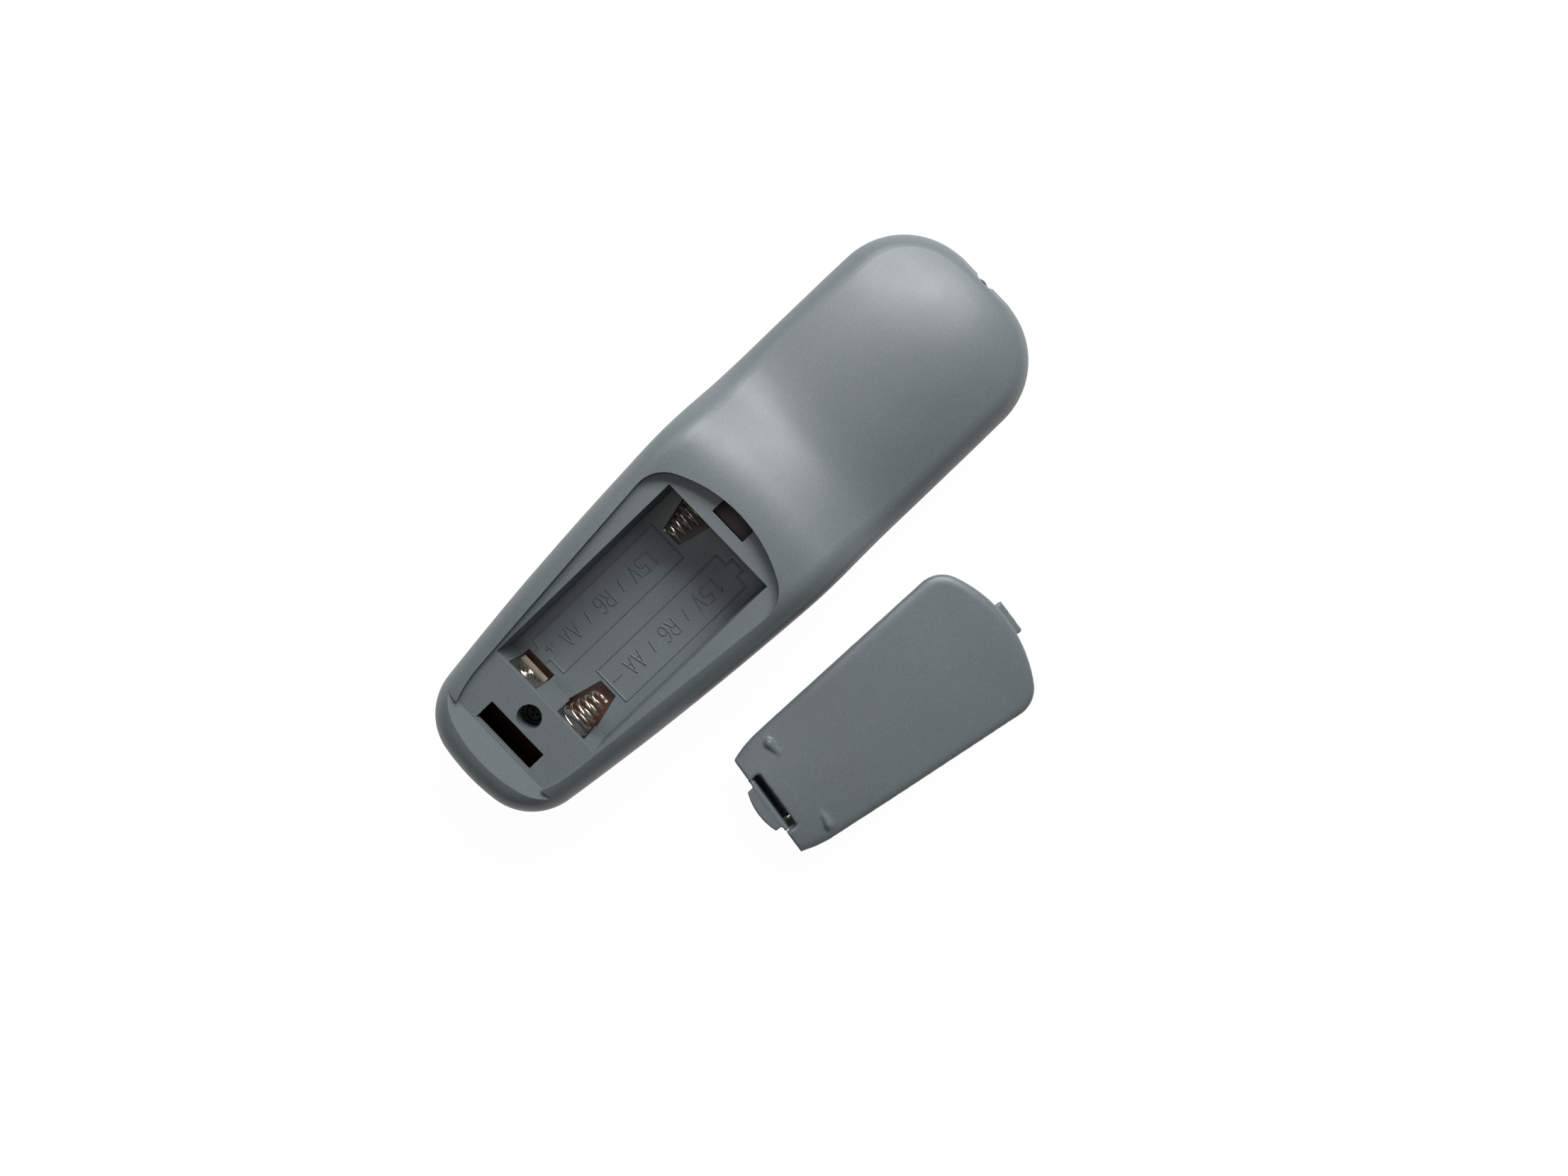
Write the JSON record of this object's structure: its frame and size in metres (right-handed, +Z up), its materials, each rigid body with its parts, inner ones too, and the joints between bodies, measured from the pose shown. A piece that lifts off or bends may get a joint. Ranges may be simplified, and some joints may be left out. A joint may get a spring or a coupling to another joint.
{
  "type": "remote control",
  "caption": "Handheld stereo remote control lying keys down, its battery bay open to show springs and contacts, with the snap-latch battery cover lying beside it.",
  "frame": {"origin": "on the surface that the handset lies on, under the flat bar between its two key fields, on its middle line and halfway along it", "axes": "X across the handset towards the battery cover, Y along it towards the infrared end, Z up from the keys towards the open battery bay"},
  "size_m": [0.1096, 0.168, 0.0263],
  "materials": {
    "case_plastic": "fine spark-textured satin moulding, blue grey",
    "cover_plastic": "fine spark-textured satin moulding, blue grey",
    "key_plastic": "smooth satin moulding, dark grey",
    "key_rubber": "smooth moulded silicone rubber, dark grey",
    "board_laminate": "paper laminate with a dark reddish brown lacquer",
    "lens_plastic": "polished tinted epoxy",
    "chip_plastic": "dull moulded epoxy, black",
    "resonator_ceramic": "glossy dipped coat, orange brown",
    "capacitor_sleeve": "shrunk plastic sleeve, dark blue",
    "plated_spring_steel": "nickel-plated spring steel, satin",
    "screw_steel": "black phosphated steel"
  },
  "bodies": {
    "handset": {"rear_case": "case_plastic", "front_case": "case_plastic", "key_mat": "key_rubber", "circuit_board": "board_laminate", "ir_led": "lens_plastic", "controller_chip": "chip_plastic", "resonator": "resonator_ceramic", "capacitor": "capacitor_sleeve", "transistor": "chip_plastic", "positive_contact": "plated_spring_steel", "negative_spring": "plated_spring_steel", "link_spring": "plated_spring_steel", "link_plate": "plated_spring_steel", "case_screw": "screw_steel"},
    "cover": {"battery_cover": "cover_plastic"},
    "latch": {"cover_latch": "cover_plastic"},
    "power_key": {"power_key": "key_plastic"},
    "source_key": {"source_key": "key_plastic"},
    "mute_key": {"mute_key": "key_plastic"},
    "one_key": {"one_key": "key_plastic"},
    "two_key": {"two_key": "key_plastic"},
    "three_key": {"three_key": "key_plastic"},
    "four_key": {"four_key": "key_plastic"},
    "five_key": {"five_key": "key_plastic"},
    "six_key": {"six_key": "key_plastic"},
    "seven_key": {"seven_key": "key_plastic"},
    "eight_key": {"eight_key": "key_plastic"},
    "nine_key": {"nine_key": "key_plastic"},
    "minus_key": {"minus_key": "key_plastic"},
    "zero_key": {"zero_key": "key_plastic"},
    "plus_key": {"plus_key": "key_plastic"},
    "play_key": {"play_key": "key_plastic"},
    "up_key": {"up_key": "key_plastic"},
    "down_key": {"down_key": "key_plastic"},
    "back_key": {"back_key": "key_plastic"},
    "forward_key": {"forward_key": "key_plastic"},
    "stop_key": {"stop_key": "key_plastic"},
    "pause_key": {"pause_key": "key_plastic"},
    "track_back_key": {"track_back_key": "key_plastic"},
    "track_on_key": {"track_on_key": "key_plastic"},
    "volume_down_key": {"volume_down_key": "key_plastic"},
    "volume_up_key": {"volume_up_key": "key_plastic"}
  },
  "joints": [
    {"name": "cover_lift", "type": "slide", "parent": "handset", "child": "cover", "axis": [0, 0, 1], "range_m": [0, 0.05]},
    {"name": "latch_bend", "type": "hinge", "parent": "cover", "child": "latch", "pos_m": [0.05466, -0.03816, 0.002], "axis": [0.9917, -0.1288, 0], "range_deg": [-14, 0], "stiffness_Nm_per_rad": 0.05},
    {"name": "power_press", "type": "slide", "parent": "handset", "child": "power_key", "axis": [0, 0, 1], "range_m": [0, 0.0006], "stiffness_N_per_m": 1000, "deforming": ["key_mat"]},
    {"name": "source_press", "type": "slide", "parent": "handset", "child": "source_key", "axis": [0, 0, 1], "range_m": [0, 0.0006], "stiffness_N_per_m": 1000, "deforming": ["key_mat"]},
    {"name": "mute_press", "type": "slide", "parent": "handset", "child": "mute_key", "axis": [0, 0, 1], "range_m": [0, 0.0006], "stiffness_N_per_m": 1000, "deforming": ["key_mat"]},
    {"name": "one_press", "type": "slide", "parent": "handset", "child": "one_key", "axis": [0, 0, 1], "range_m": [0, 0.0006], "stiffness_N_per_m": 1000, "deforming": ["key_mat"]},
    {"name": "two_press", "type": "slide", "parent": "handset", "child": "two_key", "axis": [0, 0, 1], "range_m": [0, 0.0006], "stiffness_N_per_m": 1000, "deforming": ["key_mat"]},
    {"name": "three_press", "type": "slide", "parent": "handset", "child": "three_key", "axis": [0, 0, 1], "range_m": [0, 0.0006], "stiffness_N_per_m": 1000, "deforming": ["key_mat"]},
    {"name": "four_press", "type": "slide", "parent": "handset", "child": "four_key", "axis": [0, 0, 1], "range_m": [0, 0.0006], "stiffness_N_per_m": 1000, "deforming": ["key_mat"]},
    {"name": "five_press", "type": "slide", "parent": "handset", "child": "five_key", "axis": [0, 0, 1], "range_m": [0, 0.0006], "stiffness_N_per_m": 1000, "deforming": ["key_mat"]},
    {"name": "six_press", "type": "slide", "parent": "handset", "child": "six_key", "axis": [0, 0, 1], "range_m": [0, 0.0006], "stiffness_N_per_m": 1000, "deforming": ["key_mat"]},
    {"name": "seven_press", "type": "slide", "parent": "handset", "child": "seven_key", "axis": [0, 0, 1], "range_m": [0, 0.0006], "stiffness_N_per_m": 1000, "deforming": ["key_mat"]},
    {"name": "eight_press", "type": "slide", "parent": "handset", "child": "eight_key", "axis": [0, 0, 1], "range_m": [0, 0.0006], "stiffness_N_per_m": 1000, "deforming": ["key_mat"]},
    {"name": "nine_press", "type": "slide", "parent": "handset", "child": "nine_key", "axis": [0, 0, 1], "range_m": [0, 0.0006], "stiffness_N_per_m": 1000, "deforming": ["key_mat"]},
    {"name": "minus_press", "type": "slide", "parent": "handset", "child": "minus_key", "axis": [0, 0, 1], "range_m": [0, 0.0006], "stiffness_N_per_m": 1000, "deforming": ["key_mat"]},
    {"name": "zero_press", "type": "slide", "parent": "handset", "child": "zero_key", "axis": [0, 0, 1], "range_m": [0, 0.0006], "stiffness_N_per_m": 1000, "deforming": ["key_mat"]},
    {"name": "plus_press", "type": "slide", "parent": "handset", "child": "plus_key", "axis": [0, 0, 1], "range_m": [0, 0.0006], "stiffness_N_per_m": 1000, "deforming": ["key_mat"]},
    {"name": "play_press", "type": "slide", "parent": "handset", "child": "play_key", "axis": [0, 0, 1], "range_m": [0, 0.0006], "stiffness_N_per_m": 1000, "deforming": ["key_mat"]},
    {"name": "up_press", "type": "slide", "parent": "handset", "child": "up_key", "axis": [0, 0, 1], "range_m": [0, 0.0006], "stiffness_N_per_m": 1000, "deforming": ["key_mat"]},
    {"name": "down_press", "type": "slide", "parent": "handset", "child": "down_key", "axis": [0, 0, 1], "range_m": [0, 0.0006], "stiffness_N_per_m": 1000, "deforming": ["key_mat"]},
    {"name": "back_press", "type": "slide", "parent": "handset", "child": "back_key", "axis": [0, 0, 1], "range_m": [0, 0.0006], "stiffness_N_per_m": 1000, "deforming": ["key_mat"]},
    {"name": "forward_press", "type": "slide", "parent": "handset", "child": "forward_key", "axis": [0, 0, 1], "range_m": [0, 0.0006], "stiffness_N_per_m": 1000, "deforming": ["key_mat"]},
    {"name": "stop_press", "type": "slide", "parent": "handset", "child": "stop_key", "axis": [0, 0, 1], "range_m": [0, 0.0006], "stiffness_N_per_m": 1000, "deforming": ["key_mat"]},
    {"name": "pause_press", "type": "slide", "parent": "handset", "child": "pause_key", "axis": [0, 0, 1], "range_m": [0, 0.0006], "stiffness_N_per_m": 1000, "deforming": ["key_mat"]},
    {"name": "track_back_press", "type": "slide", "parent": "handset", "child": "track_back_key", "axis": [0, 0, 1], "range_m": [0, 0.0006], "stiffness_N_per_m": 1000, "deforming": ["key_mat"]},
    {"name": "track_on_press", "type": "slide", "parent": "handset", "child": "track_on_key", "axis": [0, 0, 1], "range_m": [0, 0.0006], "stiffness_N_per_m": 1000, "deforming": ["key_mat"]},
    {"name": "volume_down_press", "type": "slide", "parent": "handset", "child": "volume_down_key", "axis": [0, 0, 1], "range_m": [0, 0.0006], "stiffness_N_per_m": 1000, "deforming": ["key_mat"]},
    {"name": "volume_up_press", "type": "slide", "parent": "handset", "child": "volume_up_key", "axis": [0, 0, 1], "range_m": [0, 0.0006], "stiffness_N_per_m": 1000, "deforming": ["key_mat"]}
  ]
}
